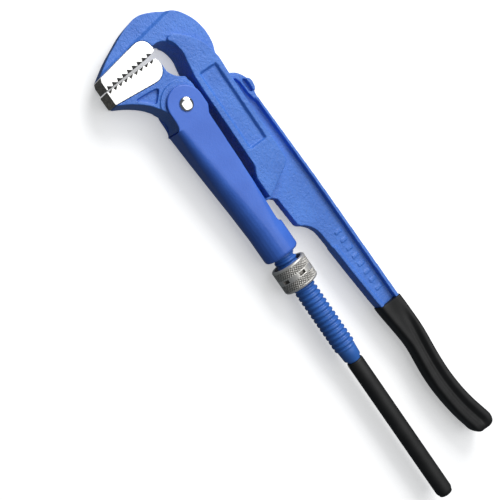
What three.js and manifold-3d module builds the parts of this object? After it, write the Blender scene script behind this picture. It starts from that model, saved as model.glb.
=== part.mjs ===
// Swedish-pattern 90 degree pipe wrench, 1 1/2 inch size.
// Millimetres. Every piece is drawn in the wrench's own plane with the jaw rivet at (0, 0):
// +Y runs to the jaws, +X to the back of the main arm, +Z out of the plane. At the end the whole
// wrench is moved so that the origin is the middle of its footprint and Z = 0 is what it lies on.
import * as THREE from 'three';
import { mergeVertices } from 'three/addons/utils/BufferGeometryUtils.js';
import Module from 'manifold-3d';

const wasm = await Module();
wasm.setup();

// ---------------------------------------------------------------- driving dimensions
const GAP = 0.3;               // air between two pieces that rest on each other
const JAW_HALF = 10;           // half thickness of the jaws and the hook
const CREST_HALF = 7.5;        // half thickness of the thinner crest round the hook's back
const WEB_HALF = 4.5;          // half thickness of the main arm's web
const PAD_HALF = 13;           // half thickness of the cheek pad beside the sleeve
const RAIL_HALF = 8.7;         // half thickness of the rail along the arm's back edge
const LIP_HALF = 5.8;          // half thickness of the lip along the handle's inner edge
const RAIL_WIDTH = 3;          // width of the rail along the handle
const RAIL_TOP_WIDTH = 2;      // the rail narrows towards the lug
const LUG_HALF = 8;            // half thickness of the lug at the top of the rail
const LIP_WIDTH = 3;           // width of the lip along the handle
const HOOK_SLOPE = 2.4;        // run of the slope from the crest up to the hook's face
const WINDOW_DEPTH = 2.2;      // depth of the long recess in the cheek pad
const WINDOW_DRAFT = 1.4;      // how far its walls lean in on the way down

const TIP_X = -41.7;           // end face of the lower jaw
const UPPER_TIP_X = -40.8;     // end face of the hook
const TOOTH_PITCH = 4.62;
const TOOTH_DEPTH = 2.3;
const TOOTH_COUNT = 9;

const ROD_TOP = -79;           // pivot of the threaded rod on the main arm's tongue
const THREAD_PITCH = 4;
const THREAD_RADIUS = 8.6;
const THREAD_ROOT = 7.4;
const THREAD_START = -118;
const THREAD_TURNS = 24;
const ROD_END = -353;
const FORK_RADIUS = 8.5;
const FORK_HALF = 9.3;
const FORK_ROUND = 10.4;       // the fork is turned down to this radius to clear the sleeve
const PIN_RADIUS = 4;

const SLEEVE_HALF = 13.5;      // half thickness over the sleeve's two side plates
const SLEEVE_WALL = 2.5;
const SLEEVE_FOOT = -128;
const SLEEVE_RADIUS = 13.9;    // round lower end
const SLOT_END = -106;         // closed end of the slot that the main arm's tongue runs in
const EAR_RADIUS = 14;
const RING_RADIUS = 17.8;      // raised ring on the lower jaw, round the sleeve's ears
const SHOULDER_Y = -13.2;      // top of the sleeve's back wall, which the lower jaw's tail meets

const NUT_RADIUS = 13.9;
const NUT_TOP = -135.1;
const NUT_LENGTH = 19.4;
const NUT_BORE = THREAD_RADIUS + GAP;

const RIVET_RADIUS = 4.2;
const RIVET_HEAD_RADIUS = 5.3;
const RIVET_HEAD_HEIGHT = 1.5;

const GRIP_START = -206;       // upper edge of the dipped grip on the main arm
const GRIP_SKIN = 1.3;
const ROD_GRIP_START = -223;
const ROD_GRIP_RADIUS = 6.6;
const ROD_SHANK_RADIUS = 5.2;

// ---------------------------------------------------------------- materials
const finish = (color, roughness, metalness) =>
  new THREE.MeshStandardMaterial({ color, roughness, metalness });
const forgedBlue = finish(0x4f78cf, 0.45, 0.1);
const sleeveBlue = finish(0x4a72cc, 0.35, 0.1);
const rodBlue = finish(0x3562b8, 0.4, 0.1);
const groundSteel = finish(0xd8d8d4, 0.3, 1);
const polishedSteel = finish(0xe2e2de, 0.15, 1);
const nickel = finish(0xb9b4ab, 0.35, 1);
const springSteel = finish(0x77746e, 0.4, 1);
const blackVinyl = finish(0x222222, 0.5, 0);

// ---------------------------------------------------------------- helpers
// A closed geometry as a solid for joining and cutting, turned inside out if it faces inwards.
function solid(geometry) {
  const bare = geometry.index ? geometry.toNonIndexed() : geometry.clone();
  bare.deleteAttribute('normal');
  bare.deleteAttribute('uv');
  const merged = mergeVertices(bare, 1e-4);
  const index = merged.index.array;
  const triangles = [];
  for (let i = 0; i < index.length; i += 3) {
    const [a, b, c] = [index[i], index[i + 1], index[i + 2]];
    if (a !== b && b !== c && c !== a) triangles.push(a, b, c);
  }
  const vertProperties = new Float32Array(merged.attributes.position.array);
  const make = (list) => new wasm.Manifold(
    new wasm.Mesh({ numProp: 3, vertProperties, triVerts: new Uint32Array(list) }));
  const made = make(triangles);
  return made.volume() > 0 ? made : make(triangles.reverse());
}

// A named mesh from a solid or from a closed geometry.
function piece(name, shape, material) {
  const body = shape.getMesh ? shape : solid(shape);
  const data = body.getMesh();
  const geometry = new THREE.BufferGeometry();
  const positions = new Float32Array(data.vertProperties);
  geometry.setAttribute('position', new THREE.BufferAttribute(positions, 3));
  geometry.setIndex(new THREE.BufferAttribute(new Uint32Array(data.triVerts), 1));
  geometry.computeVertexNormals();
  const mesh = new THREE.Mesh(geometry, material);
  mesh.name = name;
  return mesh;
}

const point = ([x, y]) => new THREE.Vector2(x, y);

// The outline as straight steps, without doubled points or points on a straight run.
function stepped(outline, curveSegments) {
  const kept = [];
  for (const p of outline.getPoints(curveSegments)) {
    if (kept.length === 0 || p.distanceTo(kept[kept.length - 1]) > 0.05) kept.push(p);
  }
  if (kept[0].distanceTo(kept[kept.length - 1]) < 0.05) kept.pop();
  return new THREE.Shape(kept.filter((p, i) => {
    const before = kept[(i + kept.length - 1) % kept.length];
    const after = kept[(i + 1) % kept.length];
    return Math.abs(p.clone().sub(before).cross(after.clone().sub(p))) > 1e-4;
  }));
}

// An outline made thick, from -half to +half in Z.
function slab(outline, half, curveSegments = 3) {
  const geometry = new THREE.ExtrudeGeometry(stepped(outline, curveSegments), {
    depth: 2 * half,
    bevelEnabled: false,
  });
  geometry.translate(0, 0, -half);
  return solid(geometry);
}

// The same recess sunk into both faces: everything inside the outline beyond +-floor goes.
function recess(outline, floor) {
  const depth = 2 * SLEEVE_HALF;
  const cut = new THREE.ExtrudeGeometry(stepped(outline, 3), { depth, bevelEnabled: false });
  const upper = solid(cut.clone().translate(0, 0, floor));
  const lower = solid(cut.clone().translate(0, 0, -floor - depth));
  return upper.add(lower);
}

// A closed outline through straight runs and smooth runs: { line: [...] } or { curve: [...] }.
function outlineOf(runs) {
  const shape = new THREE.Shape();
  const [first] = Object.values(runs[0])[0];
  shape.moveTo(...first);
  for (const run of runs) {
    if (run.line) run.line.forEach((p) => shape.lineTo(...p));
    if (run.curve) {
      const start = shape.currentPoint.clone();
      shape.splineThru(run.curve.map(point).filter((p) => p.distanceTo(start) > 0.01));
    }
    if (run.arc) shape.absarc(...run.arc);
  }
  shape.closePath();
  return shape;
}

// A turned shape round a line parallel to Y.
const turned = (profile, x = 0, segments = 32) =>
  solid(new THREE.LatheGeometry(profile.map(point), segments).translate(x, 0, 0));

// A round bar along Z between -half and +half.
function crossBar(x, y, radius, half, segments = 32) {
  const bar = new THREE.CylinderGeometry(radius, radius, 2 * half, segments);
  return solid(bar.rotateX(Math.PI / 2).translate(x, y, 0));
}

function box(x0, x1, y0, y1, z0, z1) {
  const geometry = new THREE.BoxGeometry(x1 - x0, y1 - y0, z1 - z0);
  return solid(geometry.translate((x0 + x1) / 2, (y0 + y1) / 2, (z0 + z1) / 2));
}

// The same outline a little larger all round, used to leave air round an insert.
function grown(outlinePoints, amount) {
  const count = outlinePoints.length;
  return outlinePoints.map(([x, y], i) => {
    const [ax, ay] = outlinePoints[(i + count - 1) % count];
    const [bx, by] = outlinePoints[(i + 1) % count];
    const length = Math.hypot(bx - ax, by - ay);
    return [x + (by - ay) / length * amount, y - (bx - ax) / length * amount];
  });
}

const polygon = (points) => new THREE.Shape(points.map(point));

// ---------------------------------------------------------------- toothed jaw blocks
// A row of saw teeth from start to end; side is +1 where the teeth point to -Y, -1 to +Y.
function teeth(start, end, side) {
  const run = point(end).sub(point(start));
  const along = run.clone().normalize();
  const deep = new THREE.Vector2(-along.y, along.x).multiplyScalar(side * TOOTH_DEPTH);
  const lead = (run.length() - TOOTH_COUNT * TOOTH_PITCH) / 2;
  const points = [start];
  for (let i = 0; i < TOOTH_COUNT; i += 1) {
    const steep = point(start).addScaledVector(along, lead + (i + 0.12) * TOOTH_PITCH);
    const valley = steep.clone().addScaledVector(along, 0.18 * TOOTH_PITCH).add(deep);
    const crest = point(start).addScaledVector(along, lead + (i + 0.92) * TOOTH_PITCH);
    points.push(steep.toArray(), valley.toArray(), crest.toArray());
  }
  points.push(end);
  return points;
}

// Points of a smooth curve through the given ones.
const smooth = (points, count) =>
  new THREE.SplineCurve(points.map(point)).getPoints(count).map((p) => p.toArray());

const upperBlockBack = [
  ...smooth([[4.3, 42.6], [4.5, 45.5], [3.4, 49.4], [0.8, 52.3], [-3, 53.6], [-6.5, 53.4]], 12),
  [-39.5, 46.9], [UPPER_TIP_X, 43.8],
];
const upperTeeth = teeth([UPPER_TIP_X, 37.6], [1.9, 41.7], 1);
const upperBlockOutline = [...upperTeeth, ...upperBlockBack];

const lowerBlockBack = [
  [TIP_X, 26.9], [-40.8, 26.3], [-9, 24],
  ...smooth([[-5, 24.1], [-1.2, 25.8], [1.8, 29.2], [3, 32.8], [2.2, 36.4], [1.3, 37.4]], 12),
];
const lowerTeeth = teeth([TIP_X, 36.7], [0.6, 38.2], -1);
const lowerBlockOutline = [...lowerTeeth.reverse(), ...lowerBlockBack];

// The way round an outline runs decides which side "grown" moves it to.
const enclosedArea = (points) => THREE.ShapeUtils.area(points.map(point));
const clearance = (points) => grown(points, Math.sign(enclosedArea(points)) * GAP);

// The seat that the block's back rests in, open on the toothed side.
function blockSeat(back, openings) {
  return slab(polygon([...clearance([...back, ...openings])]), 2 * JAW_HALF);
}

// ---------------------------------------------------------------- main arm
// Handle edges below the cheek, from the top down.
const handleInner = [[34.6, -147], [36.3, -169], [38.8, -197], [39.5, -203.5], [40.2, -207.5], [40.7, -212],
  [42.6, -230], [44.2, -245], [43.1, -257], [41.9, -270], [41.6, -280], [42.2, -292],
  [43.5, -305], [45.6, -318], [48.9, -329.5]];
const handleOuter = [[63.6, -327.5], [60.7, -314], [57.8, -301], [56, -289], [55.2, -278],
  [55.4, -268], [56.1, -255], [57.7, -240], [57.5, -226], [56.4, -205], [53.9, -97], [50.9, -24]];
const handleEnd = [57.4, -335.6];

// Thin crest round the hook's back, from the tip to the cheek.
const crestCurve = [[-27.6, 54.8], [-17, 60], [-8, 64.2], [-1, 66.6], [6.5, 68.3],
  [13, 67.8], [21.6, 64.6], [28.6, 60.8]];

// Plan of the arm's web, from the hook's back edge round to the handle and up the inner edge.
const webOutline = outlineOf([
  { line: [[-39, 47.8]] },
  { curve: crestCurve },
  { line: [[40, 24], [41, 2], [44, 0.4]] },
  { curve: [[47.6, -1.9], [50.4, -5.4], [51.9, -8.4]] },
  { curve: [[53.5, -10], [54.2, -13], [53.7, -17], [51.8, -19.6], [50.9, -24]] },
  { line: [[53.9, -97], [56.4, -205]] },
  { curve: handleOuter.slice(0, 9).reverse() },
  { curve: [[62.6, -332.4], handleEnd, [52.4, -333.8], [48.9, -329.5]] },
  { curve: [...handleInner].reverse() },
  { curve: [[33.4, -134], [32.4, -129.4], [30, -125], [26.8, -121.4], [23.2, -118.8]] },
  { line: [[22, -116.8], [20.2, -93], [17, -90]] },
  { line: [[10, -88.5], [0, -87.5]] },
  { arc: [0, ROD_TOP, FORK_RADIUS, -Math.PI / 2, Math.PI / 2, true] },
  { line: [[10, -69.5], [18, -66], [22, 24], [20.5, 36], [13, 47.5], [5.2, 47.5]] },
  { line: [[3.8, 50.6], [-6.4, 54.3]] },
]);

// Thick forging of the hook and its throat.
const hookOutline = outlineOf([
  { line: [[-39.4, 47.6], [-40.4, 45.9], [-6.4, 52.6], [3.6, 49.6], [4.8, 45.8], [9, 46]] },
  { curve: [[13.5, 44.6], [17, 40.6], [19.7, 34], [20, 29], [18.7, 22], [17.2, 12]] },
  { line: [[16.8, 0], [40, 0], [41.6, 7], [41.5, 14], [42.2, 19.2]] },
  { curve: [[44.2, 24], [45.2, 31], [44.9, 37], [43.6, 43], [41.2, 48.7], [37.2, 54.6],
    [33.3, 58.3], [28.4, 61.1]] },
  { line: [[26.4, 60.8], [-32.6, 50.2]] },
]);

// Raised pad of the cheek, from the throat down to the tongue.
const padOutline = outlineOf([
  { line: [[15.6, 43.2]] },
  { curve: [[18.2, 39.6], [19.8, 33.7], [19.9, 28.8], [18.6, 21.9], [17.2, 12]] },
  { line: [[16.8, 0], [16.8, -58.4]] },
  { curve: [[16.4, -63.3], [14.4, -67.2], [12.8, -71.2]] },
  { line: [[12.8, -87.3], [14.2, -87.3], [36.4, -75.9]] },
  { curve: [[38.8, -74], [40.4, -71.4], [40.8, -68]] },
  { line: [[40.8, 2.3], [41.2, 14]] },
  { curve: [[39.9, 21.9], [38.8, 25.9], [35.8, 31.7], [30.9, 37.6], [25.1, 43], [20.2, 45.3],
    [17.2, 44.8], [15.6, 43.2]] },
]);

// Long recess in the cheek pad, drawn smaller by inset all round.
function padWindow(inset) {
  const [left, right, bottom, top] = [21.2 + inset, 36.9 - inset, -52 + inset, 12.6 - inset];
  return polygon([[left + 0.6, bottom], [right - 0.6, bottom], [right, bottom + 0.6],
    [right, top - 0.6], [right - 0.6, top], [left + 0.6, top], [left, top - 0.6],
    [left, bottom + 0.6]]);
}

// That recess in both faces, with walls that lean in towards its floor.
function padWindowCut() {
  const film = 0.05;
  const layer = (inset, z) => {
    const sheet = { depth: film, bevelEnabled: false };
    return solid(new THREE.ExtrudeGeometry(padWindow(inset), sheet).translate(0, 0, z));
  };
  const floor = PAD_HALF - WINDOW_DEPTH;
  const upper = wasm.Manifold.hull([layer(WINDOW_DRAFT, floor), layer(0, PAD_HALF)]);
  const lower = wasm.Manifold.hull([layer(WINDOW_DRAFT, -floor - film), layer(0, -PAD_HALF - film)]);
  return upper.add(lower);
}

// Takes the hook's two long edges down in a slope, from its faces to the crest.
function slopedHook(hook) {
  const foot = [[-32.6, 50.2], [26.4, 60.8]];
  const along = point(foot[1]).sub(point(foot[0])).normalize();
  const shoulder = point(foot[0]).add(new THREE.Vector2(along.y, -along.x).multiplyScalar(HOOK_SLOPE));
  let sloped = hook;
  for (const side of [1, -1]) {
    const plane = new THREE.Plane().setFromCoplanarPoints(
      new THREE.Vector3(...foot[0], side * CREST_HALF),
      new THREE.Vector3(...foot[1], side * CREST_HALF),
      new THREE.Vector3(shoulder.x, shoulder.y, side * JAW_HALF),
    );
    if (plane.constant < 0) plane.negate();
    sloped = sloped.trimByPlane(plane.normal.toArray(), -plane.constant);
  }
  return sloped;
}

// A strip along one of the handle's edges; inward is the side it grows to.
function edgeStrip(edge, widthAt, inward) {
  const inner = edge.map(([x, y]) => [x + inward * widthAt(y), y]);
  return polygon([...edge, ...inner.reverse()]);
}

const railWidth = (y) => THREE.MathUtils.lerp(RAIL_TOP_WIDTH, RAIL_WIDTH,
  THREE.MathUtils.smoothstep(-y, 24, 205));
const lipWidth = () => LIP_WIDTH;

// Lug where the back rail meets the cheek.
const lugOutline = outlineOf([
  { line: [[40.4, 2.1], [44, 0.4]] },
  { curve: [[47.6, -1.9], [50.4, -5.4], [51.9, -8.4]] },
  { line: [[51.6, -19.4], [50.9, -24], [48.4, -26.5], [46.4, -18], [46, -9], [44.4, -5]] },
  { line: [[40.4, -3.4]] },
]);

// Rounded pocket at the top of the back rail, and the knob beside it.
const lugPocket = outlineOf([
  { curve: [[48, -17.4], [47.6, -10.2], [49.2, -8.2], [50.8, -10.2], [51, -17.4], [49.6, -19.4],
    [48, -17.4]] },
]);
const lugKnob = outlineOf([
  { curve: [[50.8, -10.4], [52.4, -9.2], [53.9, -11], [54.2, -14], [53.5, -17.6], [51.9, -19.6],
    [50.8, -18]] },
]);

// Row of raised bars on the web where the handle narrows.
function handleBars() {
  const bars = [];
  const rowTop = -140;
  const barStep = 7.5;
  for (let i = 0; i < 8; i += 1) {
    const y = rowTop - i * barStep;
    const x = 45.3 + 0.045 * (rowTop - y);
    bars.push(box(x - 2.6, x + 2.6, y - 1.1, y + 1.1, -WEB_HALF - 0.6, WEB_HALF + 0.6));
  }
  return bars;
}

function mainArm() {
  let arm = slab(webOutline, WEB_HALF);
  const crest = slab(outlineOf([
    { line: [[-39, 47.8]] },
    { curve: crestCurve },
    { line: [[30, 50], [5, 50], [-6.4, 54.3]] },
  ]), CREST_HALF);
  const seat = blockSeat(upperBlockBack, [[-60, 44], [-60, 30], [4, 30]]);
  arm = arm.add(crest).add(slopedHook(slab(hookOutline, JAW_HALF)));
  arm = arm.add(slab(padOutline, PAD_HALF));
  arm = arm.add(slab(edgeStrip(handleOuter, railWidth, -1), RAIL_HALF));
  arm = arm.add(slab(edgeStrip(handleInner, lipWidth, 1), LIP_HALF));
  arm = arm.add(slab(lugOutline, LUG_HALF));
  arm = arm.add(slab(lugKnob, RAIL_HALF));
  for (const bar of handleBars()) arm = arm.add(bar);
  arm = arm.subtract(padWindowCut());
  arm = arm.subtract(recess(lugPocket, LUG_HALF - 3));
  arm = arm.subtract(seat);
  arm = arm.subtract(crossBar(0, ROD_TOP, PIN_RADIUS + GAP, 2 * PAD_HALF));
  return arm;
}

// ---------------------------------------------------------------- lower jaw
const lowerJawOutline = outlineOf([
  { line: [[-41.4, 27.6], [-41.2, 25.9]] },
  { curve: [[-39.6, 25], [-31, 20.4], [-21.8, 13.4], [-15.2, 4.8], [-13, -2], [-12.8, -6],
    [-14.2, -10]] },
  { line: [[-16.2, -12.2], [-4, -12.2]] },
  { curve: [[2, -12.4], [8, -11], [12, -6.6], [13.4, 0], [13.8, 9], [12.8, 16.4]] },
  { curve: [[9.6, 18.4], [6.4, 21.2], [3.6, 26], [3.5, 33]] },
  { line: [[-20, 29]] },
]);

// Forged pocket between the jaw's ring and its toothed block.
const jawPocket = outlineOf([
  { curve: [[-28, 21.6], [-20, 21.4], [-10.6, 20.4], [-9.6, 18.4], [-13.4, 14.4], [-17, 11.8],
    [-21.6, 15.8], [-28, 21.6]] },
]);

function lowerJaw() {
  let jaw = slab(lowerJawOutline, JAW_HALF - 0.4);
  const ringHalf = SLEEVE_HALF - SLEEVE_WALL - GAP;
  jaw = jaw.add(crossBar(0, 0, RING_RADIUS, ringHalf, 64).intersect(slab(lowerJawOutline, ringHalf)));
  jaw = jaw.subtract(recess(jawPocket, JAW_HALF - 3));
  const seat = blockSeat(lowerBlockBack, [[3.2, 60], [-60, 60], [-60, 27]]);
  jaw = jaw.subtract(seat);
  return jaw.subtract(crossBar(0, 0, RIVET_RADIUS + GAP, 2 * JAW_HALF));
}

// ---------------------------------------------------------------- sleeve
// Section across the sleeve: a rectangle with corner radius r, in the XZ plane.
function sleeveSection({ left, right, half, corner }, cornerSteps = 7) {
  const centres = [[right - corner, half - corner, 0], [left + corner, half - corner, 1],
    [left + corner, corner - half, 2], [right - corner, corner - half, 3]];
  const loop = [];
  for (const [x, z, quarter] of centres) {
    for (let i = 0; i <= cornerSteps; i += 1) {
      const angle = (quarter + i / cornerSteps) * Math.PI / 2;
      loop.push([x + corner * Math.cos(angle), z + corner * Math.sin(angle)]);
    }
  }
  return loop;
}

// A skin through sections stacked along Y, closed at both ends by fans.
function loft(stations) {
  const loops = stations.map(({ y, ...section }) =>
    sleeveSection(section).map(([x, z]) => new THREE.Vector3(x, y, z)));
  const count = loops[0].length;
  const corners = [];
  const triangle = (a, b, c) => corners.push(a, b, c);
  for (let s = 0; s + 1 < loops.length; s += 1) {
    for (let i = 0; i < count; i += 1) {
      const next = (i + 1) % count;
      triangle(loops[s][i], loops[s][next], loops[s + 1][next]);
      triangle(loops[s][i], loops[s + 1][next], loops[s + 1][i]);
    }
  }
  const first = loops[0];
  const last = loops[loops.length - 1];
  for (let i = 1; i + 1 < count; i += 1) {
    triangle(first[0], first[i + 1], first[i]);
    triangle(last[0], last[i], last[i + 1]);
  }
  return solid(new THREE.BufferGeometry().setFromPoints(corners));
}

// The sleeve's section at a height: a deep channel at the ears, a round tube at the foot.
// Above the shoulder there is no back wall, so the channel's back lies outside the ears.
function sleeveStation(y, inset) {
  const round = THREE.MathUtils.clamp((SHOULDER_Y - y) / (SHOULDER_Y - SLOT_END), 0, 1);
  const bend = round * round * (3 - 2 * round);
  const back = THREE.MathUtils.lerp(-16.6, 0.3 - SLEEVE_RADIUS, 0.35 * round + 0.65 * bend);
  return {
    y,
    left: (y > SHOULDER_Y ? -22 : back) + inset,
    right: THREE.MathUtils.lerp(20, 0.3 + SLEEVE_RADIUS, round) - inset,
    half: THREE.MathUtils.lerp(SLEEVE_HALF, SLEEVE_RADIUS, round) - inset,
    corner: THREE.MathUtils.lerp(5, SLEEVE_RADIUS, round) - inset,
  };
}

function sleeve() {
  const heights = [17, SHOULDER_Y + 0.6, SHOULDER_Y, -36, -60, -84, SLOT_END, -116];
  const foot = [sleeveStation(SLEEVE_FOOT + 1.6, 0), sleeveStation(SLEEVE_FOOT, 1.3)];
  const outer = loft([...heights.map((y) => sleeveStation(y, 0)), ...foot]);
  const hollow = loft([18, ...heights.slice(1), SLEEVE_FOOT + 3].map(
    (y) => sleeveStation(y, SLEEVE_WALL)));
  const side = outlineOf([
    { line: [[-30, SLEEVE_FOOT - 1], [-30, SHOULDER_Y], [-17.4, SHOULDER_Y]] },
    { curve: [[-15.6, -12], [-14.5, -9.6], [-14.1, -6], [-EAR_RADIUS, -2]] },
    { arc: [0, 0, EAR_RADIUS, Math.PI, 0, true] },
    { line: [[13.9, -8.4], [10.6, -13.8], [8.8, SLOT_END + 4], [10.4, SLOT_END], [30, SLOT_END]] },
    { line: [[30, SLEEVE_FOOT - 1]] },
  ]);
  let shell = outer.subtract(hollow).intersect(slab(side, 2 * SLEEVE_HALF, 16));
  const rodHole = turned([[0, SLEEVE_FOOT - 5], [NUT_BORE, SLEEVE_FOOT - 5],
    [NUT_BORE, SLEEVE_FOOT + 5], [0, SLEEVE_FOOT + 5]]);
  shell = shell.subtract(rodHole);
  return shell.subtract(crossBar(0, 0, RIVET_RADIUS + GAP, 2 * SLEEVE_HALF));
}

// ---------------------------------------------------------------- rivets and pins
function jawRivet() {
  const face = SLEEVE_HALF + GAP;
  const dome = [];
  for (let i = 0; i <= 6; i += 1) {
    const angle = (i / 6) * Math.PI / 2;
    dome.push([RIVET_HEAD_RADIUS * Math.cos(angle), face + RIVET_HEAD_HEIGHT * Math.sin(angle)]);
  }
  dome[dome.length - 1][0] = 0;
  const lower = dome.map(([x, y]) => [x, -y]).reverse();
  const profile = [...lower, [RIVET_RADIUS, -face], [RIVET_RADIUS, face], ...dome];
  const rivet = new THREE.LatheGeometry(profile.map(point), 24);
  return solid(rivet.rotateX(Math.PI / 2));
}

// ---------------------------------------------------------------- threaded rod
function screwRod() {
  const profile = [[0, ROD_END], [4, ROD_END], [ROD_SHANK_RADIUS, ROD_END + 2],
    [ROD_SHANK_RADIUS, ROD_GRIP_START - 1], [6.9, ROD_GRIP_START + 1]];
  const threadEnd = THREAD_START - THREAD_TURNS * THREAD_PITCH;
  profile.push([THREAD_ROOT, threadEnd - 0.5]);
  for (let i = 0; i < THREAD_TURNS; i += 1) {
    const y = threadEnd + i * THREAD_PITCH;
    profile.push([THREAD_RADIUS, y + 1.3], [THREAD_RADIUS, y + 2.3], [THREAD_ROOT, y + 3.6]);
  }
  profile.push([8, THREAD_START + 1], [8, ROD_TOP - FORK_RADIUS], [0, ROD_TOP - FORK_RADIUS]);
  const shank = turned(profile, 0, 24);
  const forkOutline = outlineOf([
    { line: [[-FORK_RADIUS, -100], [FORK_RADIUS, -100], [FORK_RADIUS, ROD_TOP]] },
    { arc: [0, ROD_TOP, FORK_RADIUS, 0, Math.PI, false] },
  ]);
  const slot = box(-20, 20, ROD_TOP - FORK_RADIUS - 2, 0, -WEB_HALF - 0.5, WEB_HALF + 0.5);
  const round = turned([[0, -101], [FORK_ROUND, -101], [FORK_ROUND, -60], [0, -60]]);
  const fork = slab(forkOutline, FORK_HALF, 12).intersect(round);
  const rod = shank.add(fork).subtract(slot);
  return rod.subtract(crossBar(0, ROD_TOP, PIN_RADIUS + GAP, 2 * FORK_HALF));
}

// ---------------------------------------------------------------- adjusting nut
function adjustingNut() {
  const bottom = NUT_TOP - NUT_LENGTH;
  const rim = NUT_RADIUS - 1.1;
  const nut = turned([[NUT_BORE, bottom], [rim, bottom], [NUT_RADIUS, bottom + 1.6],
    [NUT_RADIUS, NUT_TOP - 0.8], [rim + 0.5, NUT_TOP], [11.4, NUT_TOP], [11, NUT_TOP - 4.5],
    [NUT_BORE, NUT_TOP - 6], [NUT_BORE, bottom]], 0, 40);
  const slotY = NUT_TOP - 0.5 * NUT_LENGTH;
  const slotDepth = 2.2;
  let cut = nut;
  for (let i = 0; i < 6; i += 1) {
    const slot = new THREE.BoxGeometry(5, 2.4, 2 * slotDepth);
    slot.translate(0, slotY, NUT_RADIUS);
    cut = cut.subtract(solid(slot.rotateY((i + 0.5) * Math.PI / 3)));
  }
  return cut;
}

// ---------------------------------------------------------------- friction spring
// A bowed strip riveted inside the sleeve's back wall; its bow presses on the rod.
const SPRING_X = -12.4;
const SPRING_TOP = -92;
const SPRING_BOTTOM = -120;
const SPRING_THICK = 0.7;

function frictionSpring() {
  const middle = (SPRING_TOP + SPRING_BOTTOM) / 2;
  const bow = [[SPRING_X + 1.6, SPRING_TOP], [SPRING_X + 2, SPRING_TOP - 8],
    [-THREAD_RADIUS - GAP - SPRING_THICK, middle - 3], [SPRING_X + 2.3, SPRING_BOTTOM]];
  const near = smooth(bow, 12);
  const far = near.map(([x, y]) => [x + SPRING_THICK, y]).reverse();
  return slab(polygon([...near, ...far]), 4);
}

// ---------------------------------------------------------------- grips
// Dipped vinyl follows the handle's own section: web, back rail and lip, grown all round.
function handleSection(grow) {
  const inner = handleInner.filter(([, y]) => y < GRIP_START);
  const outer = handleOuter.filter(([, y]) => y < GRIP_START);
  const innerTop = [39.9, GRIP_START];
  const outerTop = [56.4, GRIP_START];
  const [lastX, lastY] = inner[inner.length - 1];
  const web = outlineOf([
    { line: [[outerTop[0] + grow, GRIP_START]] },
    { curve: [...outer].reverse().map(([x, y]) => [x + grow, y]) },
    { curve: [[62.6 + grow, -332.4 - grow / 2], [handleEnd[0], handleEnd[1] - grow],
      [52.4 - grow, -333.8 - grow / 2], [lastX - grow, lastY]] },
    { curve: [...inner].reverse().map(([x, y]) => [x - grow, y]) },
    { line: [[innerTop[0] - grow, GRIP_START]] },
  ]);
  const rail = edgeStrip([[outer[0][0] + grow, outer[0][1] - grow], ...outer.map(([x, y]) => [x + grow, y]),
    [outerTop[0] + grow, GRIP_START]], () => RAIL_WIDTH + 2 * grow, -1);
  const lip = edgeStrip([[innerTop[0] - grow, GRIP_START], ...inner.map(([x, y]) => [x - grow, y]),
    [lastX - grow, lastY - grow]], () => LIP_WIDTH + 2 * grow, 1);
  return slab(web, WEB_HALF + grow)
    .add(slab(rail, RAIL_HALF + grow))
    .add(slab(lip, LIP_HALF + grow));
}

function mainGrip() {
  const mouth = box(30, 70, GRIP_START - 0.05, GRIP_START + 20, -20, 20);
  return handleSection(GAP + GRIP_SKIN).subtract(handleSection(GAP)).subtract(mouth);
}

function rodGrip() {
  const bore = ROD_SHANK_RADIUS + GAP;
  const bottom = ROD_END - GAP - GRIP_SKIN;
  const tip = [];
  for (let i = 0; i <= 5; i += 1) {
    const angle = (i / 5) * Math.PI / 2;
    tip.push([ROD_GRIP_RADIUS * Math.sin(angle), bottom + 4 * (1 - Math.cos(angle))]);
  }
  return turned([...tip, [ROD_GRIP_RADIUS, ROD_GRIP_START - 3], [ROD_GRIP_RADIUS - 0.3,
    ROD_GRIP_START - 1.6], [bore, ROD_GRIP_START - 1.6], [bore, ROD_END - GAP], [0, ROD_END - GAP]]);
}

// ---------------------------------------------------------------- assembly
const wrench = new THREE.Group();
wrench.add(
  piece('main_arm', mainArm(), forgedBlue),
  piece('upper_jaw_block', slab(polygon(upperBlockOutline), JAW_HALF), groundSteel),
  piece('lower_jaw', lowerJaw(), forgedBlue),
  piece('lower_jaw_block', slab(polygon(lowerBlockOutline), JAW_HALF), groundSteel),
  piece('sleeve', sleeve(), sleeveBlue),
  piece('jaw_rivet', jawRivet(), polishedSteel),
  piece('screw_rod', screwRod(), rodBlue),
  piece('arm_pivot_pin', crossBar(0, ROD_TOP, PIN_RADIUS, FORK_HALF, 24), springSteel),
  piece('adjusting_nut', adjustingNut(), nickel),
  piece('friction_spring', frictionSpring(), springSteel),
  piece('main_grip', mainGrip(), blackVinyl),
  piece('rod_grip', rodGrip(), blackVinyl),
);

const extent = new THREE.Box3().setFromObject(wrench);
const middle = extent.getCenter(new THREE.Vector3());
wrench.position.set(-middle.x, -middle.y, -extent.min.z);

export default wrench;
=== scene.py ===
from math import cos, pi, radians, sin

import bmesh
import bpy
from mathutils import Matrix, Vector


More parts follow.
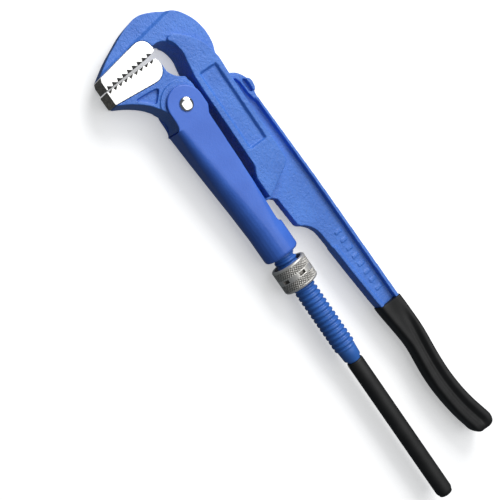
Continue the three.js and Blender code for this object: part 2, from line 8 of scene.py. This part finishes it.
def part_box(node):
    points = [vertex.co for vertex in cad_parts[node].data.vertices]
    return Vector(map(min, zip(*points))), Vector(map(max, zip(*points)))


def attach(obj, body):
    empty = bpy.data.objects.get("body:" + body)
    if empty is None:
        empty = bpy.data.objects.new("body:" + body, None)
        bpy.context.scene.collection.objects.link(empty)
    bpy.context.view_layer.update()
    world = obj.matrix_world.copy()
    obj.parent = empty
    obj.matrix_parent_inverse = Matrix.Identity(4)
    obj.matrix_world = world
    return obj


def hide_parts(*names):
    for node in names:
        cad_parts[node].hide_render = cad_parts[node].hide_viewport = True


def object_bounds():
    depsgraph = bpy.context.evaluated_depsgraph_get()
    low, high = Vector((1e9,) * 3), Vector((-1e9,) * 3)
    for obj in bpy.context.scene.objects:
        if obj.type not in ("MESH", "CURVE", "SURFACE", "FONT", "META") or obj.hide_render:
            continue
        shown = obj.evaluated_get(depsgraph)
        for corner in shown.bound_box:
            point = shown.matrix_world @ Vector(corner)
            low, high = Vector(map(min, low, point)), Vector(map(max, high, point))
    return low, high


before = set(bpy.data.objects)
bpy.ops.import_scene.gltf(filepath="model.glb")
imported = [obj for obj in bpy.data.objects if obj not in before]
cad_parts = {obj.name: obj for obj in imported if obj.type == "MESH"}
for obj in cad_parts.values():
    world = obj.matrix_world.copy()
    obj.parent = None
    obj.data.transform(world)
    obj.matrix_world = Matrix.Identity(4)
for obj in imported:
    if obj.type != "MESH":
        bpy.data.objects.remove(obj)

cad_box = [list(corner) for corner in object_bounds()]

MM = 0.001
rivet_low, rivet_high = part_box("jaw_rivet")
PIVOT = (Vector(rivet_low) + Vector(rivet_high)) / 2   # the jaw's rivet: every size is from here

# ---------------------------------------------------------------- sizes, in millimetres
# Heights run along the rod, from the jaw's rivet; the handles are below it.
ROD_END = -353.0
ROD_SHANK = 5.2              # radius of the plain shank inside the rod's grip
ROD_SHANK_TOP = -224.0
ROD_SHOULDER = 6.9           # radius where the shank swells to the thread
ROD_SHOULDER_FOOT = -222.0
ROD_NECK = 8.0               # radius between the thread and the fork
ROD_TIP = ((3.6, 0.0), (4.8, 0.6), (ROD_SHANK, 2.0))   # (radius, rise) of its rounded end
FORK_CUT = -101.2            # the fork above this is the CAD's own
THREAD_PITCH = 4.0
THREAD_ROOT = 7.4            # radius at the bottom of the thread
THREAD_DEPTH = 1.2
THREAD_FLANK = (0.12, 0.78)  # start and end of a flank, in shares of half a pitch
THREAD_TOP = -118.0
THREAD_FOOT = -214.0
THREAD_FADE = 3.0            # length over which the thread runs out

NUT_TOP = -135.1
NUT_LENGTH = 19.4
NUT_RADIUS = 13.9
NUT_BORE = 8.9
NUT_SKIN_FOOT = 1.4          # height of the knurled skin's first ring over the nut's foot
NUT_SKIN_TOP = 1.0           # distance of its last ring from the nut's top
NUT_SLOTS = 6
NUT_SLOT_DEPTH = 2.2
SLOT_LENGTH = (2.2, 2.7)     # half length of a slot at its floor and at its rim
SLOT_WIDTH = (0.9, 1.4)      # half width of a slot at its floor and at its rim
KNURL_COUNT = 46
KNURL_DEPTH = 0.42
KNURL_SHARPNESS = 6          # higher is a narrower groove
KNURL_MARGIN = (1.6, 2.1)    # plain rim at either end, and where the knurl is at full depth
BAND_HALF = 1.9              # smooth band between the two knurled ones
BAND_EDGE = 0.4

RIVET_SHANK = 4.2
RIVET_HEAD = 5.3             # radius of the domed heads
RIVET_FACE = 13.8            # height of a head's foot from the middle of the wrench
RIVET_DOME = 1.5

ROD_GRIP_TOP = -224.6
ROD_GRIP_FOOT = -354.6
ROD_GRIP_RADIUS = 6.6
ROD_GRIP_BORE = 5.5
ROD_GRIP_ROUND = 5.0         # length of its rounded end
ROD_GRIP_STEP = 20.0
ROD_GRIP_LIP = ((0.0, 1.4), (0.35, 0.3), (0.8, 0.0))   # (step in, drop) of its mouth's edge
ROD_GRIP_AIR = 0.3           # between the rod's end and the grip's floor

GRIP_MOUTH = -206.1
GRIP_LIP_HALF = 7.2          # half thickness along the inner edge, over the handle's lip
GRIP_RAIL_HALF = 10.3        # half thickness along the back edge, over the handle's rail
RAIL_BLEND = (-0.6, 0.7)     # where the lip's thickness changes to the rail's, across the grip
EDGE_POWER = 8               # the section's edges: higher is squarer
EDGE_ROUND = 0.3
GRIP_GROOVE = 2.2            # depth of the groove down each face
GROOVE_START = 0.5           # its place across the grip at the mouth; 0 is the middle
GROOVE_HALF = 0.34           # its half width, in shares of the grip's half width
GROOVE_REACH = 45.0          # it drifts from the rail to the middle over this length
GROOVE_FADE = (6.0, 26.0)    # it deepens between these distances from the mouth
# (inner edge, back edge, height) of the main grip, from its mouth to where its end rounds off
GRIP_EDGES = (
    (38.5, 58.5, -206.1), (38.5, 58.5, -206.5), (38.8, 58.9, -213), (39.9, 59.1, -221),
    (41.0, 59.4, -230), (41.9, 59.3, -238), (42.6, 58.7, -246), (41.8, 57.7, -256),
    (40.6, 57.1, -267), (40.1, 56.9, -278), (40.4, 57.6, -289), (41.5, 59.0, -300),
    (42.9, 61.0, -310), (44.6, 63.5, -319), (46.7, 65.6, -326.5),
)
GRIP_END_LENGTH = 11.0
GRIP_END_LEAN = (0.16, 0.02)   # how far the inner and the back edge lean over, per mm of the end
GRIP_END_POWER = 3           # the end's roundness, seen from above
GRIP_END_ROUND = 0.42
GRIP_END_GROOVE = 1.4        # how fast the groove dies out on the end

# Cell sizes of the forged skins.
VOXEL = 0.4
FINE_VOXEL = 0.22
ARM_PASSES = 7               # smoothing of the forgings' edges
SLEEVE_PASSES = 26           # the sleeve's folds are rounder
BLOCK_PASSES = 2             # the ground blocks stay crisp
BROKEN_EDGE = 0.15

# Noise sizes of the enamel, in waves a metre.
DRIFT_WAVES = 45
PIT_WAVES = 520
GLOSS_WAVES = 260
CAST_WAVES = 420
PEEL_WAVES = 900


# ---------------------------------------------------------------- geometry helpers
def smoothstep(low, high, value):
    t = min(1.0, max(0.0, (value - low) / (high - low)))
    return t * t * (3 - 2 * t)


def finished(name, bm, material, body, replaced, sharp=40):
    """The mesh as a named piece that rides on a body and stands for a CAD node."""
    bmesh.ops.recalc_face_normals(bm, faces=bm.faces)
    mesh = bpy.data.meshes.new(name)
    bm.to_mesh(mesh)
    bm.free()
    mesh.shade_smooth()
    mesh.set_sharp_from_angle(angle=radians(sharp))
    mesh.materials.append(material)
    piece = bpy.data.objects.new(name, mesh)
    bpy.context.scene.collection.objects.link(piece)
    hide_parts(replaced)
    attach(piece, body)
    return piece


def turned(bm, rows, segments, relief=None, closed=False, along="Y"):
    """Rings of (radius, height) about the rod's axis, or about Z for the rivet."""
    rings = []
    for radius, height in rows:
        ring = []
        for k in range(segments):
            angle = 2 * pi * k / segments
            r = radius + (relief(angle, radius, height) if relief else 0.0)
            if along == "Y":
                offset = Vector((r * cos(angle), height, r * sin(angle)))
            else:
                offset = Vector((r * cos(angle), r * sin(angle), height))
            ring.append(bm.verts.new(PIVOT + offset * MM))
        rings.append(ring)
    pairs = list(zip(rings, rings[1:] + rings[:1])) if closed else list(zip(rings, rings[1:]))
    for lower, upper in pairs:
        for k in range(segments):
            n = (k + 1) % segments
            bm.faces.new((lower[k], lower[n], upper[n], upper[k]))
    if not closed:
        bm.faces.new(rings[0])
        bm.faces.new(rings[-1])


def soften(name, voxel, passes):
    """Rounds a CAD node's edges, as forging and paint do, with modifiers alone."""
    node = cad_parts[name]
    remesh = node.modifiers.new("forged skin", "REMESH")
    remesh.mode = "VOXEL"
    remesh.voxel_size = voxel * MM
    remesh.use_smooth_shade = True
    smooth = node.modifiers.new("soft edges", "SMOOTH")
    smooth.factor = 0.5
    smooth.iterations = passes


# ---------------------------------------------------------------- material helpers
def link(tree, out, inlet):
    tree.links.new(out, inlet)


def blank(name):
    material = bpy.data.materials.new(name)
    material.use_nodes = True
    tree = material.node_tree
    shader = tree.nodes["Principled BSDF"]
    where = tree.nodes.new("ShaderNodeTexCoord")
    return material, tree, shader, where.outputs["Object"]


def noise(tree, where, scale, detail=3.0, rough=0.5, stretch=None):
    if stretch:
        mapping = tree.nodes.new("ShaderNodeMapping")
        mapping.inputs["Scale"].default_value = stretch
        link(tree, where, mapping.inputs["Vector"])
        where = mapping.outputs["Vector"]
    node = tree.nodes.new("ShaderNodeTexNoise")
    node.inputs["Scale"].default_value = scale
    node.inputs["Detail"].default_value = detail
    node.inputs["Roughness"].default_value = rough
    link(tree, where, node.inputs["Vector"])
    return node.outputs["Fac"]


def ramp(tree, value, low, high, dark, light):
    node = tree.nodes.new("ShaderNodeValToRGB")
    node.color_ramp.elements[0].position = low
    node.color_ramp.elements[0].color = (*dark, 1)
    node.color_ramp.elements[1].position = high
    node.color_ramp.elements[1].color = (*light, 1)
    link(tree, value, node.inputs["Fac"])
    return node.outputs["Color"]


def spread(tree, value, low, high):
    node = tree.nodes.new("ShaderNodeMapRange")
    node.inputs["To Min"].default_value = low
    node.inputs["To Max"].default_value = high
    link(tree, value, node.inputs["Value"])
    return node.outputs["Result"]


def bump(tree, height, distance, strength, under=None):
    node = tree.nodes.new("ShaderNodeBump")
    node.inputs["Distance"].default_value = distance * MM
    node.inputs["Strength"].default_value = strength
    link(tree, height, node.inputs["Height"])
    if under:
        link(tree, under, node.inputs["Normal"])
    return node.outputs["Normal"]


# ---------------------------------------------------------------- materials
def paint(name, deep, light, rough, peel, cast, pit_shade):
    """Enamel over a forging: slow colour drift, orange peel, and the casting's own waviness."""
    material, tree, shader, where = blank(name)
    drift = noise(tree, where, DRIFT_WAVES, 2)
    enamel = ramp(tree, drift, 0.35, 0.65, deep, light)
    pits = noise(tree, where, PIT_WAVES, 4, 0.7)
    shade = ramp(tree, pits, 0.27, 0.36, (pit_shade,) * 3, (1.0,) * 3)
    blend = tree.nodes.new("ShaderNodeMix")
    blend.data_type = "RGBA"
    blend.blend_type = "MULTIPLY"
    blend.inputs["Factor"].default_value = 1.0
    link(tree, enamel, blend.inputs["A"])
    link(tree, shade, blend.inputs["B"])
    link(tree, blend.outputs["Result"], shader.inputs["Base Color"])
    gloss = noise(tree, where, GLOSS_WAVES, 3)
    link(tree, spread(tree, gloss, rough - 0.06, rough + 0.08), shader.inputs["Roughness"])
    waves = bump(tree, noise(tree, where, CAST_WAVES, 3, 0.6), cast, 1.0)
    skin = bump(tree, noise(tree, where, PEEL_WAVES, 3, 0.6), peel, 0.9, waves)
    link(tree, skin, shader.inputs["Normal"])
    shader.inputs["Specular IOR Level"].default_value = 0.35
    shader.inputs["Coat Weight"].default_value = 0.12
    shader.inputs["Coat Roughness"].default_value = 0.2
    return material


def ground_steel():
    """Ground faces with fine grinding lines; faces towards the tip keep a brown forging skin, and the
    same mask darkens the teeth's steep flanks as painted shade.
    """
    material, tree, shader, where = blank("ground_steel")
    geometry = tree.nodes.new("ShaderNodeNewGeometry")
    turn = tree.nodes.new("ShaderNodeVectorTransform")
    turn.vector_type = "NORMAL"
    turn.convert_from = "WORLD"
    turn.convert_to = "OBJECT"
    link(tree, geometry.outputs["Normal"], turn.inputs["Vector"])
    split = tree.nodes.new("ShaderNodeSeparateXYZ")
    link(tree, turn.outputs["Vector"], split.inputs["Vector"])
    # mask by face direction: real brown forging skin on the end faces, and painted shade on the
    # teeth's steep flanks
    skin_and_flank_shade = tree.nodes.new("ShaderNodeMapRange")
    skin_and_flank_shade.inputs["From Min"].default_value = -0.45
    skin_and_flank_shade.inputs["From Max"].default_value = -0.75
    link(tree, split.outputs["X"], skin_and_flank_shade.inputs["Value"])
    lines = noise(tree, where, 1, 3, 0.6, (160, 5200, 900))
    bright = ramp(tree, lines, 0.3, 0.7, (0.66, 0.66, 0.65), (0.86, 0.86, 0.85))
    scale = noise(tree, where, 700, 4)
    # brown of the forging skin, which on the steep tooth flanks is painted shade
    brown = ramp(tree, scale, 0.35, 0.7, (0.16, 0.13, 0.095), (0.62, 0.53, 0.42))
    mix = tree.nodes.new("ShaderNodeMix")
    mix.data_type = "RGBA"
    link(tree, skin_and_flank_shade.outputs["Result"], mix.inputs["Factor"])
    link(tree, bright, mix.inputs["A"])
    link(tree, brown, mix.inputs["B"])
    link(tree, mix.outputs["Result"], shader.inputs["Base Color"])
    link(tree, spread(tree, skin_and_flank_shade.outputs["Result"], 1.0, 0.2), shader.inputs["Metallic"])
    link(tree, spread(tree, lines, 0.26, 0.44), shader.inputs["Roughness"])
    link(tree, bump(tree, lines, 0.03, 0.35), shader.inputs["Normal"])
    return material


def plated(name, dark, light, rough, grain, metal=1.0):
    """Bare or plated metal: cloudy colour and a fine grain."""
    material, tree, shader, where = blank(name)
    link(tree, ramp(tree, noise(tree, where, 420, 4), 0.3, 0.7, dark, light),
         shader.inputs["Base Color"])
    shader.inputs["Metallic"].default_value = metal
    fine = noise(tree, where, 2600, 3)
    link(tree, spread(tree, fine, rough - 0.04, rough + 0.06), shader.inputs["Roughness"])
    link(tree, bump(tree, fine, grain, 0.4), shader.inputs["Normal"])
    return material


def vinyl():
    """Satin dipped vinyl with a fine skin and slow sags from the dipping."""
    material, tree, shader, where = blank("vinyl")
    link(tree, ramp(tree, noise(tree, where, 120, 3), 0.35, 0.7, (0.009,) * 3, (0.015,) * 3),
         shader.inputs["Base Color"])
    fine = noise(tree, where, 1900, 3)
    link(tree, spread(tree, fine, 0.50, 0.62), shader.inputs["Roughness"])
    sags = bump(tree, noise(tree, where, 90, 2), 0.25, 0.4)
    link(tree, bump(tree, fine, 0.03, 0.4, sags), shader.inputs["Normal"])
    return material


# name, deep and light colour, roughness, peel and casting bumps in mm, shade of the pits
forged = paint("forged_paint", (0.060, 0.192, 0.66), (0.078, 0.235, 0.76), 0.36, 0.30, 0.75, 0.5)
smooth_blue = paint("sleeve_paint", (0.056, 0.165, 0.67), (0.068, 0.192, 0.74), 0.34, 0.09, 0.14, 0.9)
rod_blue = paint("rod_paint", (0.040, 0.150, 0.52), (0.052, 0.185, 0.62), 0.36, 0.03, 0.05, 0.9)
steel = ground_steel()
chrome = plated("rivet_steel", (0.80, 0.80, 0.79), (0.88, 0.88, 0.87), 0.10, 0.004)
nickel = plated("nickel_plate", (0.70, 0.68, 0.64), (0.82, 0.80, 0.76), 0.38, 0.008, 0.6)
# painted shade: a darker nickel for the faces down in the knurl's grooves and the slots
painted_groove_shade = plated("nickel_painted_shade", (0.20, 0.19, 0.175), (0.30, 0.285, 0.26), 0.45, 0.012, 0.6)
plain = plated("plain_steel", (0.28, 0.27, 0.25), (0.42, 0.41, 0.38), 0.36, 0.012)
black = vinyl()

for name, material in {
    "main_arm": forged, "lower_jaw": forged, "sleeve": smooth_blue,
    "upper_jaw_block": steel, "lower_jaw_block": steel,
    "arm_pivot_pin": plain, "friction_spring": plain,
}.items():
    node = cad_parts[name]
    node.data.materials.clear()
    node.data.materials.append(material)

soften("main_arm", VOXEL, ARM_PASSES)
soften("lower_jaw", VOXEL, ARM_PASSES)
soften("sleeve", VOXEL, SLEEVE_PASSES)
soften("upper_jaw_block", FINE_VOXEL, BLOCK_PASSES)
soften("lower_jaw_block", FINE_VOXEL, BLOCK_PASSES)
for name in ("arm_pivot_pin", "friction_spring"):
    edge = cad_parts[name].modifiers.new("broken edges", "BEVEL")
    edge.width = BROKEN_EDGE * MM
    edge.segments = 2


# ---------------------------------------------------------------- threaded rod
def thread(angle, radius, height):
    """A rounded helical thread that runs out smoothly at both ends."""
    if not THREAD_FOOT <= height <= THREAD_TOP:
        return 0.0
    phase = (height / THREAD_PITCH - angle / (2 * pi)) % 1.0
    crest = smoothstep(*THREAD_FLANK, 1 - abs(2 * phase - 1))
    ends = (smoothstep(THREAD_FOOT, THREAD_FOOT + THREAD_FADE, height)
            * smoothstep(-THREAD_TOP, -THREAD_TOP + THREAD_FADE, -height))
    return THREAD_DEPTH * crest * ends


def threaded_rod():
    """A helical rod below, joined to the CAD's own fork above."""
    step = 0.25
    count = round((THREAD_TOP - THREAD_FOOT) / step)
    rows = [(radius, ROD_END + rise) for radius, rise in ROD_TIP]
    rows += [(ROD_SHANK, ROD_SHANK_TOP), (ROD_SHOULDER, ROD_SHOULDER_FOOT),
             (THREAD_ROOT, THREAD_FOOT - 0.5)]
    rows += [(THREAD_ROOT, THREAD_FOOT + i * step) for i in range(count + 1)]
    rows += [(ROD_NECK, THREAD_TOP + 1.5), (ROD_NECK, FORK_CUT + 0.2)]
    bm = bmesh.new()
    turned(bm, rows, 80, thread)

    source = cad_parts["screw_rod"]
    fork = bmesh.new()
    fork.from_mesh(source.data)
    fork.transform(source.matrix_world)
    cut = fork.verts[:] + fork.edges[:] + fork.faces[:]
    bmesh.ops.bisect_plane(fork, geom=cut, plane_co=PIVOT + Vector((0, FORK_CUT * MM, 0)),
                           plane_no=(0, 1, 0), clear_inner=True)
    bmesh.ops.holes_fill(fork, edges=[e for e in fork.edges if e.is_boundary])
    kept = bpy.data.meshes.new("fork")
    fork.to_mesh(kept)
    fork.free()
    bm.from_mesh(kept)
    bpy.data.meshes.remove(kept)
    finished("threaded_rod", bm, rod_blue, "rod", "screw_rod")


# ---------------------------------------------------------------- knurled nut
def knurl(angle, radius, height):
    """Crossing grooves in two bands, and short slots in the smooth band between them."""
    if radius < NUT_RADIUS - 0.01:
        return 0.0
    middle = NUT_TOP - NUT_LENGTH / 2
    from_middle = abs(height - middle)
    from_edge = min(NUT_TOP - height, height - (NUT_TOP - NUT_LENGTH))
    turns = angle * KNURL_COUNT / 2
    climb = height * KNURL_COUNT / (2 * NUT_RADIUS)
    crossed = max(abs(cos(turns + climb)), abs(cos(turns - climb))) ** KNURL_SHARPNESS
    banded = (smoothstep(BAND_HALF, BAND_HALF + BAND_EDGE, from_middle)
              * smoothstep(*KNURL_MARGIN, from_edge))
    round_slot = abs((angle * NUT_SLOTS / (2 * pi)) % 1.0 - 0.5) * 2 * pi * NUT_RADIUS / NUT_SLOTS
    slot = (1 - smoothstep(*SLOT_LENGTH, round_slot)) * (1 - smoothstep(*SLOT_WIDTH, from_middle))
    return -KNURL_DEPTH * crossed * banded - NUT_SLOT_DEPTH * slot


def knurled_nut():
    """The ring nut, turned as one closed profile, with a darker metal down in its grooves as painted
    shade.
    """
    bottom = NUT_TOP - NUT_LENGTH
    step = 0.2
    count = round((NUT_LENGTH - NUT_SKIN_FOOT - NUT_SKIN_TOP) / step)
    rows = [(NUT_BORE, bottom + 0.5), (NUT_BORE + 0.5, bottom), (NUT_RADIUS - 1.1, bottom),
            (NUT_RADIUS - 0.5, bottom + 0.4)]
    rows += [(NUT_RADIUS, bottom + NUT_SKIN_FOOT + i * step) for i in range(count + 1)]
    rows += [(NUT_RADIUS - 0.3, NUT_TOP - 0.4), (NUT_RADIUS - 0.8, NUT_TOP), (11.7, NUT_TOP),
             (11.4, NUT_TOP - 0.4), (11.0, NUT_TOP - 4.5), (NUT_BORE, NUT_TOP - 6)]
    bm = bmesh.new()
    turned(bm, rows, 552, knurl, closed=True)
    axis = Vector((PIVOT.x, 0, PIVOT.z))
    # painted shade: faces down in the grooves and slots take the darker nickel
    for face in bm.faces:
        centre = face.calc_center_median()
        reach = (Vector((centre.x, 0, centre.z)) - axis).length / MM
        inside = NUT_RADIUS - 2 * NUT_SLOT_DEPTH < reach < NUT_RADIUS - 0.4 * KNURL_DEPTH
        if inside and bottom + 1.5 < (centre.y - PIVOT.y) / MM < NUT_TOP - 0.8:
            face.material_index = 1
    nut = finished("knurled_nut", bm, nickel, "nut", "adjusting_nut", 50)
    nut.data.materials.append(painted_groove_shade)


# ---------------------------------------------------------------- rivet and rod grip
def domed_rivet():
    """A shank with a domed head at either end."""
    steps = 10
    dome = [(max(0.05, RIVET_HEAD * cos(pi / 2 * i / steps)),
             RIVET_FACE + RIVET_DOME * sin(pi / 2 * i / steps)) for i in range(steps + 1)]
    rows = [(r, -z) for r, z in reversed(dome)]
    rows += [(RIVET_SHANK, -RIVET_FACE), (RIVET_SHANK, RIVET_FACE)] + dome
    bm = bmesh.new()
    turned(bm, rows, 64, along="Z")
    finished("domed_rivet", bm, chrome, "slider", "jaw_rivet")


def dipped_rod_grip():
    """A vinyl sock with a rounded end and a thin, soft mouth."""
    steps = 8
    tip = [(max(0.05, ROD_GRIP_RADIUS * sin(pi / 2 * i / steps)),
            ROD_GRIP_FOOT + ROD_GRIP_ROUND * (1 - cos(pi / 2 * i / steps)))
           for i in range(steps + 1)]
    body = [(ROD_GRIP_RADIUS, ROD_GRIP_TOP - ROD_GRIP_STEP * i) for i in range(6, 0, -1)]
    lip = [(ROD_GRIP_RADIUS - inward, ROD_GRIP_TOP - drop) for inward, drop in ROD_GRIP_LIP]
    floor_height = ROD_END - ROD_GRIP_AIR
    inside = [(ROD_GRIP_BORE, ROD_GRIP_TOP), (ROD_GRIP_BORE, floor_height), (0.05, floor_height)]
    bm = bmesh.new()
    turned(bm, tip + body + lip + inside, 64)
    finished("dipped_rod_grip", bm, black, "rod", "rod_grip")


def grip_section(bm, inner, back, height, scale=1.0, grooved=1.0, steps=18):
    """One ring of the main grip: rounded edges, thicker over the rail, a groove down each face."""
    middle = (inner + back) / 2
    half_width = (back - inner) / 2 * scale
    down = GRIP_MOUTH - height
    groove_at = GROOVE_START * (1 - smoothstep(0.0, GROOVE_REACH, down))
    ring = []
    for k in range(2 * steps):
        angle = pi * k / steps
        across = -cos(angle)
        side = 1 if k < steps else -1
        thick = GRIP_LIP_HALF + (GRIP_RAIL_HALF - GRIP_LIP_HALF) * smoothstep(*RAIL_BLEND, across)
        edge = (1 - min(1.0, abs(across)) ** EDGE_POWER) ** EDGE_ROUND
        groove = 1 - smoothstep(0.0, GROOVE_HALF, abs(across - groove_at))
        depth = GRIP_GROOVE * groove * smoothstep(*GROOVE_FADE, down) * grooved
        z = side * max(0.0, thick * edge - depth) * scale
        ring.append(bm.verts.new(PIVOT + Vector((middle + half_width * across, height, z)) * MM))
    return ring


def dipped_main_grip():
    """A skin through the grip's rings, closed by rings that shrink towards the round end."""
    bm = bmesh.new()
    rings = [grip_section(bm, *edges) for edges in GRIP_EDGES]
    inner, back, foot = GRIP_EDGES[-1]
    caps = 9
    for i in range(1, caps + 1):
        out = sin(pi / 2 * i / caps)
        sink = GRIP_END_LENGTH * out
        shrink = max(0.02, (1 - out ** GRIP_END_POWER) ** GRIP_END_ROUND)
        grooved = max(0.0, 1 - GRIP_END_GROOVE * out)
        rings.append(grip_section(bm, inner + GRIP_END_LEAN[0] * sink, back + GRIP_END_LEAN[1] * sink,
                                  foot - sink, shrink, grooved))
    for upper, lower in zip(rings, rings[1:]):
        for k in range(len(upper)):
            n = (k + 1) % len(upper)
            bm.faces.new((upper[k], lower[k], lower[n], upper[n]))
    bm.faces.new(rings[0])
    bm.faces.new(rings[-1])
    grip = finished("dipped_main_grip", bm, black, "arm", "main_grip", 60)
    round_off = grip.modifiers.new("soft vinyl", "SUBSURF")
    round_off.levels = 2
    round_off.render_levels = 2


threaded_rod()
knurled_nut()
dipped_main_grip()
domed_rivet()
dipped_rod_grip()


# ---------------------------------------------------------------- floor, light and camera
FLOOR_GLOW = 0.42            # a light table's own light, which keeps the cast shadow pale
FLOOR_HALF = 3.0
LIT_POINT = PIVOT + Vector((0, -0.11, 0))
SKY_COLOUR = (0.80, 0.90, 1.0, 1)
SKY_STRENGTH = 0.11
CAMERA_FROM_RIVET = Vector((-0.251, 0.004, 0.640))
AIM_FROM_RIVET = Vector((-0.0181, -0.1107, 0.0))
CAMERA_TOP = radians(52.7)   # the picture's upward direction across the bench, from +X
CAMERA_LENS = 69.2


def floor():
    material, tree, shader, where = blank("pale_floor")
    link(tree, ramp(tree, noise(tree, where, 9, 2), 0.3, 0.7, (0.90,) * 3, (0.92,) * 3),
         shader.inputs["Base Color"])
    shader.inputs["Roughness"].default_value = 0.8
    shader.inputs["Emission Color"].default_value = (1, 1, 1, 1)
    shader.inputs["Emission Strength"].default_value = FLOOR_GLOW
    half = FLOOR_HALF
    mesh = bpy.data.meshes.new("floor")
    corners = [(-half, -half, 0), (half, -half, 0), (half, half, 0), (-half, half, 0)]
    mesh.from_pydata(corners, [], [(0, 1, 2, 3)])
    mesh.materials.append(material)
    plane = bpy.data.objects.new("floor", mesh)
    plane.location.z = cad_box[0][2]
    plane.visible_diffuse = False
    plane.visible_glossy = False
    bpy.context.scene.collection.objects.link(plane)


def aimed(back, hint):
    """Axes of something that looks along -back with its top towards the hint."""
    back = back.normalized()
    right = hint.cross(back).normalized()
    return Matrix((right, back.cross(right), back)).transposed().to_4x4()


def softbox(name, direction, distance, size, power):
    """A square lamp that faces the wrench's middle from a direction."""
    lamp = bpy.data.lights.new(name, "AREA")
    lamp.size = size
    lamp.energy = power
    box = bpy.data.objects.new(name, lamp)
    box.matrix_world = (Matrix.Translation(LIT_POINT + direction.normalized() * distance)
                        @ aimed(direction, Vector((0, 1, 0.01))))
    bpy.context.scene.collection.objects.link(box)


floor()
softbox("overhead", Vector((0.36, -0.10, 1.0)), distance=1.3, size=1.4, power=9.5)
softbox("key", Vector((0.75, 0.65, 0.75)), distance=1.3, size=0.7, power=11.5)

world = bpy.data.worlds.new("studio")
world.use_nodes = True
world.node_tree.nodes["Background"].inputs["Color"].default_value = SKY_COLOUR
world.node_tree.nodes["Background"].inputs["Strength"].default_value = SKY_STRENGTH
bpy.context.scene.world = world
bpy.context.scene.view_settings.view_transform = "Standard"

lens = bpy.data.cameras.new("camera")
lens.lens = CAMERA_LENS
camera = bpy.data.objects.new("camera", lens)
camera.matrix_world = (Matrix.Translation(PIVOT + CAMERA_FROM_RIVET)
                       @ aimed(CAMERA_FROM_RIVET - AIM_FROM_RIVET,
                               Vector((cos(CAMERA_TOP), sin(CAMERA_TOP), 0))))
bpy.context.scene.collection.objects.link(camera)
bpy.context.scene.camera = camera
